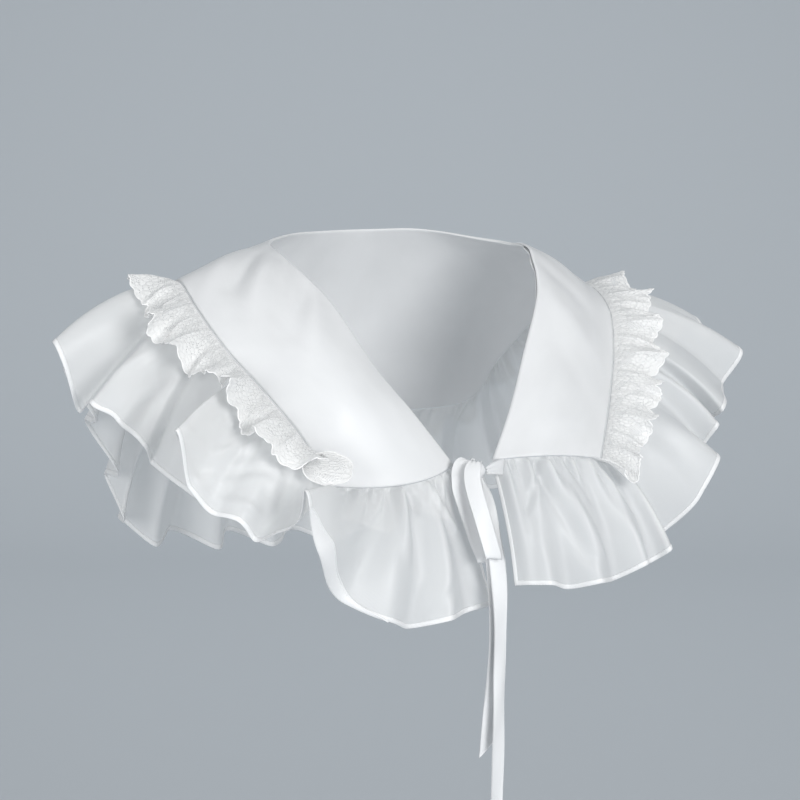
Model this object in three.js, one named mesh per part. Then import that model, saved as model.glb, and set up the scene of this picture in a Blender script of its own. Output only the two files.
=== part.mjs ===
// A ruffled lace collar, held open as it is worn: a broad satin collar cut in two layers, a gathered
// organza ruffle in two lengths joined at the centre back, a lace frill along each outer seam, and a
// satin ribbon tied in a bow whose loops and ends hang at the front.
// Millimetres. +Z is up, -Y is the front, +X is the wearer's left. The origin is the middle of the
// neck opening at shoulder level.
import * as THREE from "three";

// Walls and gaps
const SEAM_GAP = 0.3;
const TOP_WALL = 1.3;
const UNDER_WALL = 1.2;
const RUFFLE_WALL = 1.3;
const LACE_WALL = 1.0;
const RIBBON_WALL = 1.2;

// Sizes along the seams
const RUFFLE_START = 1.8;
const RUFFLE_LAST = 9.991;
const LACE_ROOT = 2;
const LACE_RISE = 2;
const LACE_FULL = 22;
const LACE_WAVE = 27;
const LACE_END = 15;
const RIBBON_WIDTH = 10;
const TIE_FACING = -30;

// How finely each wall is divided
const PANEL_PARTS = [2.5, 6];
const FOLD_STEPS = 3;
const FALL_ROWS = [0, 0.12, 0.3, 0.5, 0.75, 1];
const LACE_STEPS = 5;
const LACE_ROWS = [0, 0.3, 0.65, 1];

function table(columns, rows) {
  const names = columns.split(" ");
  return rows.map((row) => Object.fromEntries(names.map((name, i) => [name, row[i]])));
}

// The collar, a row for each section from the right front edge round the back to the left one:
// its neck edge, its outer seam, how far it bows outward between them, and how far it dips toward
// the front edge.
const SECTIONS = table("at neckX neckY neckZ seamX seamY seamZ crown dip", [
  [0, -23, -98, -124, -108, -90, -132, 9, 8],
  [1, -46, -87, -91, -121, -82, -103, 10, 4],
  [2, -63, -70, -64, -136, -67, -78, 12, 0],
  [3, -79, -44, -26, -151, -43, -52, 8, 0],
  [4, -88, -12, -4, -159, -15, -27, 4, 0],
  [5, -86, 24, 6, -157, 17, -12, 3, 0],
  [6, -74, 47, 9, -150, 62, -36, 5, 0],
  [7, -58, 60, 11, -134, 98, -80, 13, 0],
  [8, -42, 69, 12, -114, 112, -114, 14, 0],
  [9, -21, 75, 12, -58, 120, -119, 12, 0],
  [10, 0, 77, 12, 0, 122, -121, 11, 0],
  [11, 21, 75, 12, 58, 120, -119, 12, 0],
  [12, 42, 69, 12, 114, 112, -114, 14, 0],
  [13, 60, 60, 10, 132, 98, -84, 13, 0],
  [14, 78, 44, 6, 147, 60, -46, 6, 0],
  [15, 90, 18, 3, 150, 20, -28, 2, 0],
  [16, 86, -14, 0, 143, -20, -40, 2, 0],
  [17, 73, -42, -26, 131, -44, -66, 6, 0],
  [18, 50, -63, -61, 116, -63, -93, 9, 0],
  [19, 27, -83, -94, 101, -80, -114, 8, 0],
  [20, 5, -98, -123, 90, -92, -129, 7, 0],
]);
const CORNER_RIGHT = 0;
const CORNER_LEFT = SECTIONS.length - 1;

// Soft creases in the satin: from one place to another (section, share of the width from the neck),
// how wide and how high. A low one is a trough.
const CREASES = table("at across endAt endAcross wide high", [
  [4.6, 0.1, 3.3, 0.75, 8, 2.2],
  [4.2, 0.05, 2.9, 0.6, 7, -1.6],
  [5.3, 0.3, 4.1, 0.95, 8, 1.8],
  [3.2, 0.15, 2.2, 0.5, 9, 1.4],
  [1.6, 0.5, 0.7, 0.9, 10, 1.2],
  [6.6, 0.3, 6.1, 0.95, 9, 1.8],
  [8.1, 0.35, 7.4, 0.9, 10, -1.6],
  [9.7, 0.2, 9.3, 0.85, 11, 1.6],
  [11.2, 0.25, 11.6, 0.8, 10, -1.4],
  [13.3, 0.3, 13.8, 0.95, 9, 1.7],
  [15.3, 0, 15.9, 0.6, 7, 1.6],
  [16.2, 0, 16.6, 0.55, 7, -1.5],
  [16.9, 0.05, 17.5, 0.7, 8, 1.3],
]);

// The hang of the ruffle: where its hem would lie unfolded, and how far the fall bows outward.
// Places run from -1 at the right front edge, 0 at the right corner, to 20 at the left corner and 21.
const FALLS = table("at x y z bow", [
  [-1, -7, -121, -210, 1],
  [-0.5, -74, -130, -216, 8],
  [0, -126, -120, -192, 10],
  [1, -172, -106, -152, 10],
  [2, -196, -84, -136, 10],
  [3, -211, -54, -112, 8],
  [4, -225, -16, -80, 8],
  [5, -234, 20, -48, 8],
  [6, -202, 80, -80, 8],
  [7, -158, 124, -140, 10],
  [8, -132, 148, -190, 10],
  [9, -68, 152, -204, 8],
  [10, 0, 152, -207, 8],
  [11, 68, 152, -204, 8],
  [12, 132, 148, -190, 10],
  [13, 176, 126, -146, 10],
  [14, 210, 76, -92, 8],
  [15, 241, 6, -62, 8],
  [16, 235, -36, -86, 8],
  [17, 208, -70, -112, 8],
  [18, 180, -96, -136, 8],
  [19, 148, -114, -168, 8],
  [20, 112, -124, -192, 8],
  [20.5, 62, -130, -203, 8],
  [21, 8, -122, -199, 4],
]);

// The ruffle's folds, ridge and valley by turns, as they stand at the hem: place, lift away from the
// body, slide along the hem, and drop below it.
const FOLDS = table("at lift slide drop", [
  [-1, -2, 0, 0],
  [-0.86, -5, 0, 0],
  [-0.7, 7, 0, 0],
  [-0.54, -8, 0, 0],
  [-0.4, 6, 6, 0],
  [-0.3, 2, 21, -6],
  [-0.15, 44, 42, -16],
  [0, 62, 48, -34],
  [0.25, 40, 28, -12],
  [0.5, 20, 15, -4],
  [0.85, -3, 0, 0],
  [1.2, 3, 0, 0],
  [1.6, -2, 0, 0],
  [2.1, 12, 0, 0],
  [2.5, 45, 0, -12],
  [2.75, -18, -32, 0],
  [3.05, -16, -12, 0],
  [3.3, -20, -8, 0],
  [3.45, -6, -12, 0],
  [3.85, -8, -4, 0],
  [4.2, -2, -6, 8],
  [4.45, -38, -8, 8],
  [5, 4, 0, 6],
  [5.4, -4, 0, 0],
  [6, 8, 0, 0],
  [6.3, -17, 0, 0],
  [6.65, 12, 0, 0],
  [7, -13, 0, 0],
  [7.35, 13, 0, 0],
  [7.65, -12, 0, 0],
  [8, 14, 0, 2],
  [8.3, -12, 0, 0],
  [8.65, 11, 0, 0],
  [9, -12, 0, 0],
  [9.3, 13, 0, 0],
  [9.65, -10, 0, 0],
  [10, 9, 0, 0],
  [10.3, -11, 0, 0],
  [10.65, 13, 0, 0],
  [11, -12, 0, 0],
  [11.35, 11, 0, 0],
  [11.7, -12, 0, 0],
  [12.05, 14, 0, 2],
  [12.4, -12, 0, 0],
  [12.75, 13, 0, 0],
  [13.1, -14, 0, 0],
  [13.5, 13, 0, 0],
  [13.8, -12, 0, 0],
  [14.15, 11, 0, 0],
  [14.5, -12, 0, 0],
  [14.85, 9, 0, 0],
  [15.15, -5, 0, 0],
  [15.6, 8, 6, 6],
  [16.05, -10, 0, 0],
  [16.6, 2, 18, -8],
  [16.85, -20, -10, 0],
  [17.15, 2, 10, -8],
  [17.5, -16, 0, -6],
  [18.1, 5, 0, 0],
  [18.6, -6, 0, 0],
  [19.25, -24, 4, -6],
  [19.65, 6, 10, 0],
  [20, -5, 0, 0],
  [20.15, 7, 0, 0],
  [20.3, -7, 0, 0],
  [20.5, 8, 0, 0],
  [20.65, -6, 0, 0],
  [20.82, 6, 0, 0],
  [21, -1, 0, 0],
]);

// The lace frills: how far each stands up from the ruffle, in degrees, and how wide it is.
const FLARES = table("at angle wide", [
  [-0.05, 64, 27],
  [0.3, 60, 28],
  [0.7, 38, 31],
  [1.1, 16, 34],
  [1.6, 10, 35],
  [2.1, 12, 35],
  [2.6, 29, 34],
  [3.1, 16, 35],
  [3.6, 10, 35],
  [4.3, 17, 34],
  [4.9, 3, 27],
  [5.4, 1, 21],
  [5.9, 3, 21],
  [6.4, 12, 25],
  [7, 9, 28],
  [10, 8, 30],
  [13, 4, 29],
  [14.3, 2, 26],
  [15, 2, 26],
  [16.2, 8, 29],
  [18, 8, 29],
  [19.3, 26, 28],
  [20.05, 28, 27],
]);

// The tie, seen square on from the way it faces: across to the left, out from the body, height,
// how far the ribbon is turned about its length or tilted from level, and its share of full width,
// less where it is gathered into the knot.
const LOOP_FRONT = table("across out z turn tilt wide", [
  [43.2, 106.2, -122.7, 0, 0, 0.45],
  [42.6, 110.2, -120, 0, 0, 0.7],
  [40.6, 115, -123.4, 0, 0, 1],
  [40.2, 119, -130, 0, 0, 1],
  [42.2, 123.4, -139, 0, 0, 1],
  [45.6, 127.4, -150, 0, 0, 1],
  [49.4, 130, -163, 0, 0, 1],
  [52.6, 131.4, -174, 0, 0, 1],
  [53.2, 130, -177.4, 0, 0, 1],
  [52.8, 128, -174.4, 0, 0, 1],
  [49.6, 127.2, -163, 0, 0, 1],
  [45.6, 124.2, -150, 0, 0, 1],
  [42.6, 119.8, -138.5, 0, 0, 0.9],
  [41.8, 114, -131, 0, 0, 0.7],
  [42.8, 110, -128, 0, 0, 0.5],
  [43.3, 107.5, -127.5, 0, 0, 0.45],
]);
const LOOP_REAR = table("across out z turn tilt wide", [
  [40.8, 103.2, -121, 0, 0, 0.45],
  [38, 104.4, -120.1, 0, 0, 0.7],
  [34.4, 106.2, -121.2, 0, 0, 0.9],
  [32.6, 108.6, -125.5, 0, 0, 1],
  [32.4, 111.4, -131, 0, 0, 1],
  [33.2, 112.9, -138, 0, 0, 1],
  [37.4, 114.8, -151, 0, 0, 1],
  [43.2, 117.2, -168, 0, 0, 1],
  [47.6, 118.6, -178.5, 0, 0, 1],
  [48.6, 117.4, -181.8, 0, 0, 1],
  [48.2, 115.4, -178.8, 0, 0, 1],
  [44, 113.6, -168, 0, 0, 1],
  [38.4, 111.2, -151, 0, 0, 1],
  [35, 109.2, -141, 0, 0, 0.9],
  [35.6, 107.4, -135.5, 0, 0, 0.7],
  [37.8, 106, -132, 0, 0, 0.5],
  [39.5, 105.1, -130.6, 0, 0, 0.45],
]);
const TAIL_SHORT = table("across out z turn tilt wide", [
  [45, 103.2, -131.8, 0, 0, 0.45],
  [45.4, 105.2, -136.5, 0, 0, 0.7],
  [47, 112.4, -142, 0, 0, 0.95],
  [48.8, 118.7, -150.5, 0, 0, 1],
  [51, 121.8, -168, 0, 0, 1],
  [53.2, 122.6, -180, 0, 0, 1],
  [54.7, 121.5, -202, -25, 0, 1],
  [54.4, 120, -225, -40, 0, 1],
  [52.8, 117.5, -259, -42, 0, 1],
  [51.2, 115, -280, -35, 0, 1],
  [49.8, 113, -301.5, -28, 0, 1],
]);
const TAIL_LONG = table("across out z turn tilt wide", [
  [45.2, 105.8, -130.5, 0, 0, 0.45],
  [45.6, 109, -134.5, 0, 0, 0.7],
  [47.6, 115.6, -141, 0, 0, 1],
  [50.2, 122, -150, 0, 0, 1],
  [53.2, 124.8, -168, 0, 0, 1],
  [55.4, 125.7, -180, 0, 0, 1],
  [57.1, 124.6, -202, -25, 0, 1],
  [57.6, 123.4, -225, -40, 0, 1],
  [57.4, 121, -259, -45, 0, 1],
  [56.4, 117, -311, -42, 0, 1],
  [54.9, 112.5, -356, -36, 0, 1],
]);
const STRAP_LEFT = table("across out z turn tilt wide", [
  [49.2, 102.7, -126.6, 0, 90, 0.5],
  [54, 98, -125.6, 0, 90, 0.8],
  [58.3, 91.4, -125.9, 0, 90, 1],
  [60.2, 86.6, -126.4, 0, 90, 1],
]);
const STRAP_RIGHT = table("across out z turn tilt wide", [
  [38.1, 102.8, -126.8, 0, 90, 0.5],
  [34.8, 101.6, -127.2, 0, 90, 0.75],
  [31.2, 99.4, -127.8, 0, 90, 1],
]);
const KNOT = { across: 43.5, out: 103, z: -126.5, halfAcross: 5, halfOut: 4, halfHeight: 5 };

function spanOf(rows, at) {
  let i = 0;
  while (i < rows.length - 2 && at >= rows[i + 1].at) {
    i += 1;
  }
  return i;
}

function hermite(a, b, slopeA, slopeB, step, t) {
  const t2 = t * t;
  const t3 = t2 * t;
  const start = (2 * t3 - 3 * t2 + 1) * a + (t3 - 2 * t2 + t) * step * slopeA;
  return start + (3 * t2 - 2 * t3) * b + (t3 - t2) * step * slopeB;
}

// A smooth curve through one column of a table.
function smooth(rows, key, at) {
  const rise = (k) => (rows[k + 1][key] - rows[k][key]) / (rows[k + 1].at - rows[k].at);
  const slope = (k) => {
    if (k === 0) return rise(0);
    if (k === rows.length - 1) return rise(k - 1);
    const before = rows[k].at - rows[k - 1].at;
    const after = rows[k + 1].at - rows[k].at;
    return (rise(k - 1) * after + rise(k) * before) / (before + after);
  };
  const i = spanOf(rows, at);
  const step = rows[i + 1].at - rows[i].at;
  return hermite(rows[i][key], rows[i + 1][key], slope(i), slope(i + 1), step, (at - rows[i].at) / step);
}

// A curve that turns only at the rows, so that a fold stands no higher than its row says.
function rolling(rows, key, at) {
  const rise = (k) => (rows[k + 1][key] - rows[k][key]) / (rows[k + 1].at - rows[k].at);
  const slope = (k) => {
    if (k === 0 || k === rows.length - 1) return 0;
    const before = rise(k - 1);
    const after = rise(k);
    return before * after <= 0 ? 0 : (2 * before * after) / (before + after);
  };
  const i = spanOf(rows, at);
  const step = rows[i + 1].at - rows[i].at;
  return hermite(rows[i][key], rows[i + 1][key], slope(i), slope(i + 1), step, (at - rows[i].at) / step);
}

const vector = (x, y, z) => new THREE.Vector3(x, y, z);
const neckAt = (at) => vector(...["neckX", "neckY", "neckZ"].map((key) => smooth(SECTIONS, key, at)));
const outerAt = (at) => vector(...["seamX", "seamY", "seamZ"].map((key) => smooth(SECTIONS, key, at)));
const clamp = (x, low, high) => Math.min(high, Math.max(low, x));

function creaseHeight(at, across) {
  const alongUnit = 34;
  const acrossUnit = 72;
  let height = 0;
  for (const c of CREASES) {
    const x = (at - c.at) * alongUnit;
    const y = (across - c.across) * acrossUnit;
    const dx = (c.endAt - c.at) * alongUnit;
    const dy = (c.endAcross - c.across) * acrossUnit;
    const length = Math.hypot(dx, dy);
    const run = (x * dx + y * dy) / length / length;
    const off = (x * dy - y * dx) / length / c.wide;
    const past = Math.max(0, -run, run - 1) * (length / c.wide);
    const middle = 0.55 + 0.45 * Math.sin(Math.PI * clamp(run, 0, 1));
    height += c.high * middle * Math.exp(-off * off - past * past);
  }
  return height;
}

// The collar's middle surface: section, and share of the width from the neck edge to the outer seam.
function panelPoint(at, across) {
  const step = 0.05;
  const a = clamp(at - step, 0, CORNER_LEFT);
  const b = clamp(at + step, 0, CORNER_LEFT);
  const neck = neckAt(at);
  const reach = outerAt(at).sub(neck);
  const along = neckAt(b).add(outerAt(b)).sub(neckAt(a)).sub(outerAt(a));
  const outward = along.clone().cross(reach).normalize();
  const middle = 4 * across * (1 - across);
  return neck
    .addScaledVector(reach, across)
    .addScaledVector(outward, smooth(SECTIONS, "crown", at) * middle + creaseHeight(at, across))
    .addScaledVector(along.normalize(), -smooth(SECTIONS, "dip", at) * middle);
}

// The seam that the ruffle is sewn to: the right bottom edge, the outer edge, the left bottom edge.
function seamPoint(at) {
  if (at < CORNER_RIGHT) return panelPoint(0, 1 + at);
  if (at > CORNER_LEFT) return panelPoint(CORNER_LEFT, CORNER_LEFT + 1 - at);
  return outerAt(at);
}

const fallPoint = (at) => vector(smooth(FALLS, "x", at), smooth(FALLS, "y", at), smooth(FALLS, "z", at));

// The ruffle's own directions at a place: down the fall, along the hem, and away from the body.
function fallFrame(at) {
  const root = seamPoint(at);
  const down = fallPoint(at).sub(root);
  const length = down.length();
  down.normalize();
  const along = fallPoint(clamp(at + 0.06, -1, 21)).sub(fallPoint(clamp(at - 0.06, -1, 21)));
  along.addScaledVector(down, -along.dot(down)).normalize();
  const out = along.clone().cross(down);
  return { root, down, length, along, out };
}

// The ruffle's middle surface: place, and share of the fall from the seam to the hem.
function rufflePoint(at, fall) {
  const f = fallFrame(at);
  const lift = rolling(FOLDS, "lift", at) * fall ** 1.15;
  const slide = rolling(FOLDS, "slide", at) * fall ** 1.3;
  const drop = rolling(FOLDS, "drop", at) * fall;
  const bow = smooth(FALLS, "bow", at) * 4 * fall * (1 - fall);
  return f.root
    .addScaledVector(f.down, f.length * fall + drop)
    .addScaledVector(f.out, lift + bow)
    .addScaledVector(f.along, slide);
}

// A closed wall over a grid of points, from one offset to another along the grid's own outward side.
function wall(points, low, high) {
  const rows = points.length;
  const columns = points[0].length;
  const outward = points.map((row, i) =>
    row.map((_, j) => {
      const up = points[Math.max(i - 1, 0)][j];
      const down = points[Math.min(i + 1, rows - 1)][j];
      const back = row[Math.max(j - 1, 0)];
      const on = row[Math.min(j + 1, columns - 1)];
      return on.clone().sub(back).cross(down.clone().sub(up)).normalize();
    }),
  );
  const side = (offset) =>
    points.flatMap((row, i) => row.map((p, j) => p.clone().addScaledVector(outward[i][j], offset)));
  const vertices = [...side(low), ...side(high)];
  const inner = (i, j) => i * columns + j;
  const outer = (i, j) => rows * columns + i * columns + j;
  const faces = [];
  const quad = (a, b, c, d) => faces.push(a, b, c, a, c, d);
  for (let i = 0; i < rows - 1; i += 1) {
    for (let j = 0; j < columns - 1; j += 1) {
      quad(outer(i, j), outer(i, j + 1), outer(i + 1, j + 1), outer(i + 1, j));
      quad(inner(i, j), inner(i + 1, j), inner(i + 1, j + 1), inner(i, j + 1));
    }
  }
  for (let j = 0; j < columns - 1; j += 1) {
    quad(outer(0, j), inner(0, j), inner(0, j + 1), outer(0, j + 1));
    quad(outer(rows - 1, j), outer(rows - 1, j + 1), inner(rows - 1, j + 1), inner(rows - 1, j));
  }
  for (let i = 0; i < rows - 1; i += 1) {
    quad(outer(i, 0), outer(i + 1, 0), inner(i + 1, 0), inner(i, 0));
    quad(outer(i, columns - 1), inner(i, columns - 1), inner(i + 1, columns - 1), outer(i + 1, columns - 1));
  }
  return closed(vertices, faces);
}

// A geometry from points and faces, turned to face outward.
function closed(vertices, faces) {
  let volume = 0;
  for (let k = 0; k < faces.length; k += 3) {
    const [a, b, c] = [vertices[faces[k]], vertices[faces[k + 1]], vertices[faces[k + 2]]];
    volume += a.dot(b.clone().cross(c));
  }
  if (volume < 0) {
    for (let k = 0; k < faces.length; k += 3) {
      [faces[k + 1], faces[k + 2]] = [faces[k + 2], faces[k + 1]];
    }
  }
  const geometry = new THREE.BufferGeometry().setFromPoints(vertices);
  geometry.setIndex(faces);
  geometry.computeVertexNormals();
  return geometry;
}

// The collar's two layers lie on one grid, a seam gap apart.
function panelGrid() {
  const columns = Math.round(CORNER_LEFT * PANEL_PARTS[0]);
  const rows = PANEL_PARTS[1];
  const grid = [];
  for (let i = 0; i <= rows; i += 1) {
    const line = [];
    for (let j = 0; j <= columns; j += 1) {
      line.push(panelPoint((CORNER_LEFT * j) / columns, i / rows));
    }
    grid.push(line);
  }
  return grid;
}

// Places along the ruffle from one to another, with a few between each ridge and valley.
function foldPlaces(from, to) {
  const places = [];
  for (let k = 0; k < FOLDS.length - 1; k += 1) {
    for (let step = 0; step < FOLD_STEPS; step += 1) {
      places.push(FOLDS[k].at + ((FOLDS[k + 1].at - FOLDS[k].at) * step) / FOLD_STEPS);
    }
  }
  places.push(FOLDS[FOLDS.length - 1].at);
  return [from, ...places.filter((at) => at > from + 0.02 && at < to - 0.02), to];
}

function ruffleGrid(from, to) {
  const places = foldPlaces(from, to);
  return FALL_ROWS.map((share) =>
    places.map((at) => {
      const start = RUFFLE_START / fallFrame(at).length;
      return rufflePoint(at, start + (1 - start) * share);
    }),
  );
}

// The lace frill lies over the ruffle from beside the seam, and its front end is rounded.
function lacePoint(at, length, toEnd, share) {
  const f = fallFrame(at);
  const angle = THREE.MathUtils.degToRad(smooth(FLARES, "angle", at));
  const waves = Math.sin((2 * Math.PI * length) / LACE_WAVE + 1.1 * Math.sin(length / 61));
  const lean = angle + 0.14 * waves * share;
  const round = Math.sqrt(1 - (1 - clamp(toEnd / LACE_END, 0.06, 1)) ** 2);
  const wide = smooth(FLARES, "wide", at);
  const reach = wide * (1 + 0.07 * Math.sin(length / 17)) * round * share;
  const under = clamp((reach * Math.cos(lean)) / f.length, 0, 1);
  const start = (RUFFLE_START + 0.6) / f.length;
  const point = rufflePoint(at, start + under);
  const rise = LACE_ROOT + LACE_RISE * Math.sqrt(share) + (wide / LACE_FULL) ** 3 * share * (1 + waves);
  const back = Math.min(0, reach * Math.cos(lean));
  return point.addScaledVector(f.out, rise + reach * Math.sin(lean)).addScaledVector(f.down, back);
}

function laceGrid(from, to) {
  const fine = 400;
  const line = [];
  let length = 0;
  let last = seamPoint(from);
  for (let k = 0; k <= fine; k += 1) {
    const at = from + ((to - from) * k) / fine;
    const here = seamPoint(at);
    length += here.distanceTo(last);
    last = here;
    line.push({ at, length, toEnd: length });
  }
  if (from >= 10) {
    line.forEach((p) => {
      p.toEnd = length - p.length;
    });
  }
  const step = (p) => (p.toEnd < LACE_END ? LACE_END / 5 : LACE_WAVE / LACE_STEPS);
  let next = 0;
  const places = line.filter((p, k) => {
    if (p.length < next && k < fine) return false;
    next = p.length + step(p);
    return true;
  });
  return LACE_ROWS.map((share) => places.map((p) => lacePoint(p.at, p.length, p.toEnd, share)));
}

// A ribbon along a path given as it is seen from the way the tie faces.
function ribbonGrid(rows, steps) {
  const turned = THREE.MathUtils.degToRad(TIE_FACING);
  const right = vector(Math.cos(turned), Math.sin(turned), 0);
  const toward = vector(Math.sin(turned), -Math.cos(turned), 0);
  const placed = rows.map((row, i) => ({ ...row, at: i }));
  const value = (key, at) => smooth(placed, key, at);
  const point = (at) =>
    vector(0, 0, value("z", at))
      .addScaledVector(right, value("across", at))
      .addScaledVector(toward, value("out", at));
  const last = rows.length - 1;
  const count = last * steps;
  const left = [];
  const rightSide = [];
  for (let k = 0; k <= count; k += 1) {
    const at = k / steps;
    const path = point(Math.min(at + 0.1, last)).sub(point(Math.max(at - 0.1, 0)));
    path.normalize();
    const turn = THREE.MathUtils.degToRad(value("turn", at));
    const tilt = THREE.MathUtils.degToRad(value("tilt", at));
    const width = right.clone().multiplyScalar(Math.cos(turn)).addScaledVector(toward, Math.sin(turn));
    width.multiplyScalar(Math.cos(tilt)).add(vector(0, 0, Math.sin(tilt)));
    width.addScaledVector(path, -width.dot(path)).normalize();
    const half = (RIBBON_WIDTH * value("wide", at)) / 2;
    left.push(point(at).addScaledVector(width, -half));
    rightSide.push(point(at).addScaledVector(width, half));
  }
  return [left, rightSide];
}

function knotGeometry() {
  const turned = THREE.MathUtils.degToRad(TIE_FACING);
  const geometry = new THREE.SphereGeometry(1, 16, 10);
  geometry.scale(KNOT.halfAcross, KNOT.halfOut, KNOT.halfHeight);
  geometry.rotateZ(turned);
  const right = vector(Math.cos(turned), Math.sin(turned), 0);
  const toward = vector(Math.sin(turned), -Math.cos(turned), 0);
  const centre = right.multiplyScalar(KNOT.across).addScaledVector(toward, KNOT.out);
  return geometry.translate(centre.x, centre.y, KNOT.z);
}

const SATIN = { color: 0xf1f3f6, roughness: 0.32, metalness: 0 };
const ORGANZA = { color: 0xeceeef, roughness: 0.55, metalness: 0 };
const LACE = { color: 0xf4f4f2, roughness: 0.85, metalness: 0 };
const RIBBON = { color: 0xf3f4f6, roughness: 0.35, metalness: 0 };

const collar = new THREE.Group();
function add(name, geometry, finish) {
  const mesh = new THREE.Mesh(geometry, new THREE.MeshStandardMaterial(finish));
  mesh.name = name;
  collar.add(mesh);
}
function ribbon(name, rows) {
  add(name, wall(ribbonGrid(rows, 2), -RIBBON_WALL / 2, RIBBON_WALL / 2), RIBBON);
}

const panel = panelGrid();
add("collar_top", wall(panel, SEAM_GAP / 2, SEAM_GAP / 2 + TOP_WALL), SATIN);
add("collar_under", wall(panel, -SEAM_GAP / 2 - UNDER_WALL, -SEAM_GAP / 2), SATIN);
add("ruffle_right", wall(ruffleGrid(-1, RUFFLE_LAST), -RUFFLE_WALL / 2, RUFFLE_WALL / 2), ORGANZA);
add("ruffle_left", wall(ruffleGrid(20 - RUFFLE_LAST, 21), -RUFFLE_WALL / 2, RUFFLE_WALL / 2), ORGANZA);
add("lace_right", wall(laceGrid(0.1, RUFFLE_LAST), -LACE_WALL / 2, LACE_WALL / 2), LACE);
add("lace_left", wall(laceGrid(20 - RUFFLE_LAST, 19.95), -LACE_WALL / 2, LACE_WALL / 2), LACE);
add("tie_knot", knotGeometry(), RIBBON);
ribbon("tie_strap_right", STRAP_RIGHT);
ribbon("tie_strap_left", STRAP_LEFT);
ribbon("tie_loop_front", LOOP_FRONT);
ribbon("tie_loop_rear", LOOP_REAR);
ribbon("tie_tail_short", TAIL_SHORT);
ribbon("tie_tail_long", TAIL_LONG);

export default collar;
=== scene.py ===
"""A ruffled lace collar: satin, crisp organza, cotton lace and a satin ribbon, worn open at the neck.

Lengths in the tables are millimetres, in the part's own frame, and the meshes are made in metres.
"""

import math

import bpy
import numpy as np
from mathutils import Matrix, Vector


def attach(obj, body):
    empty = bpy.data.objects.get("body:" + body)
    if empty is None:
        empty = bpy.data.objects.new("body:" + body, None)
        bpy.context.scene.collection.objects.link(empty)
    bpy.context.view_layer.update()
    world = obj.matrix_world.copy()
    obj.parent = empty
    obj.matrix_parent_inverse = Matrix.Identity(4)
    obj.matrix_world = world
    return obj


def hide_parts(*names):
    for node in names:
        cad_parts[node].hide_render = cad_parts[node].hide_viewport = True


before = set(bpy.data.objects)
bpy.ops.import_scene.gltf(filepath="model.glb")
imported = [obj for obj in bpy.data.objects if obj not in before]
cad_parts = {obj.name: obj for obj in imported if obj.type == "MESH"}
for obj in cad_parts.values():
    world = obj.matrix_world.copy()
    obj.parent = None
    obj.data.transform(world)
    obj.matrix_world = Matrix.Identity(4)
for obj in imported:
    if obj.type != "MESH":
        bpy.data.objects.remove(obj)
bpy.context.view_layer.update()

MM = 0.001

# Places run along the collar: 0 to 20 are its sections, and the ruffle goes on over the bottom edges.
RUFFLE_START, FIRST, BACK, LAST, RUFFLE_END = -1.0, 0.0, 10.0, 20.0, 21.0

# Rough lengths, for laying things out: from section to section, from the neck edge to the outer
# seam, the same for the creases, and from the seam to the hem.
SECTION_STEP, PANEL_WIDTH, CREASE_SPAN, FALL_LENGTH = 34.0, 85.0, 72.0, 88.0

# The satin: how far its edge is rolled, how far the two layers lie from the middle, the band of
# fine mesh along the edges, and how far the lining peeks out.
ROLL, TOP_LIFT, LINING_DROP, EDGE_BAND, PEEK = 1.3, 1.15, 1.05, 4.0, 1.6

# Spacing of the fine pleats and of the tucks near the seam, and the height of a fold's crisp line
PLEAT_STEP, TUCK_STEP, CRISP = 7.5, 11.0, 1.5

# The lace: its width, the width from which its folds deepen, one wave of its edge, a pleat, a tuck,
# a loop of its edging, the rounding of its ends, and how much lace is gathered into its length.
LACE_WIDTH, LACE_FULL, LACE_WAVE = 29.0, 22.0, 27.0
LACE_PLEAT, LACE_TUCK, LACE_PICOT, LACE_END, LACE_FULLNESS = 12.7, 5.1, 3.4, 15.0, 1.35

# The lobe of lace turned over at the right corner: its middle across, up and toward the camera
TURNED_END = (-63.2, -134.2, 142.0)

# The ribbon's width, half its thickness, its mesh rows from one row of a table to the next, and the
# way that the tie faces, in degrees.
RIBBON_WIDTH, RIBBON_HALF, RIBBON_STEPS, TIE_FACING = 10.0, 0.16, 12, -30.0

# Rolled edges, width and thickness
HEM_ROLL, FRONT_ROLL, TURNED_ROLL = (3.2, 0.7), (2.6, 0.7), (1.5, 0.8)
SEAM_ROLL, CORD_ROLL = (1.8, 0.9), (1.1, 0.9)


def table(columns, rows):
    """One array for each named column."""
    values = np.array(rows, float)
    return {name: values[:, i] for i, name in enumerate(columns.split())}


# The collar, a row for each section from the right front edge round the back to the left one:
# its neck edge, its outer seam, how far it bows outward between them, and how far it dips toward
# the front edge.
SECTIONS = table("at neckX neckY neckZ seamX seamY seamZ crown dip", [
    (0, -23, -98, -124, -108, -90, -132, 9, 8),
    (1, -46, -87, -91, -121, -82, -103, 10, 4),
    (2, -63, -70, -64, -136, -67, -78, 12, 0),
    (3, -79, -44, -26, -151, -43, -52, 8, 0),
    (4, -88, -12, -4, -159, -15, -27, 4, 0),
    (5, -86, 24, 6, -157, 17, -12, 3, 0),
    (6, -74, 47, 9, -150, 62, -36, 5, 0),
    (7, -58, 60, 11, -134, 98, -80, 13, 0),
    (8, -42, 69, 12, -114, 112, -114, 14, 0),
    (9, -21, 75, 12, -58, 120, -119, 12, 0),
    (10, 0, 77, 12, 0, 122, -121, 11, 0),
    (11, 21, 75, 12, 58, 120, -119, 12, 0),
    (12, 42, 69, 12, 114, 112, -114, 14, 0),
    (13, 60, 60, 10, 132, 98, -84, 13, 0),
    (14, 78, 44, 6, 147, 60, -46, 6, 0),
    (15, 90, 18, 3, 150, 20, -28, 2, 0),
    (16, 86, -14, 0, 143, -20, -40, 2, 0),
    (17, 73, -42, -26, 131, -44, -66, 6, 0),
    (18, 50, -63, -61, 116, -63, -93, 9, 0),
    (19, 27, -83, -94, 101, -80, -114, 8, 0),
    (20, 5, -98, -123, 90, -92, -129, 7, 0),
])

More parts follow.
